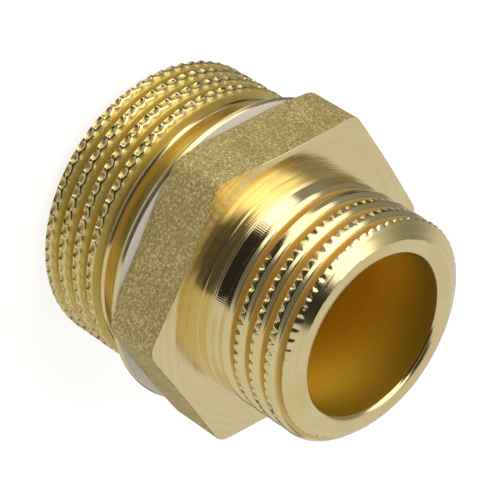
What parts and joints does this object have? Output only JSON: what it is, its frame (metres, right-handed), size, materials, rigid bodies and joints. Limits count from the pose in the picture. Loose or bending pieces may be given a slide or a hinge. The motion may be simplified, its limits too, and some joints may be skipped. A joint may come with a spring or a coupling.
{
  "type": "hex nipple",
  "caption": "Brass reducing hex nipple with knurled male pipe threads on both ends, a blasted hexagon, a round sealing collar and a stepped through bore",
  "frame": {"origin": "centre of the flat face of the large end, on the bore axis; the part stands on this end", "axes": "+Z runs along the bore axis from the large end to the small end; +X passes through one corner of the hexagon"},
  "size_m": [0.0304, 0.0286, 0.028],
  "materials": {
    "turned_brass": "fine turned, bright",
    "blasted_brass": "shot blasted forging skin, matt; front and back faces turned"
  },
  "bodies": {
    "root": {"large_thread_spigot": "turned_brass", "relief_neck": "turned_brass", "sealing_collar": "turned_brass", "hex_body": "blasted_brass", "plain_neck": "turned_brass", "small_thread_spigot": "turned_brass"}
  },
  "joints": []
}
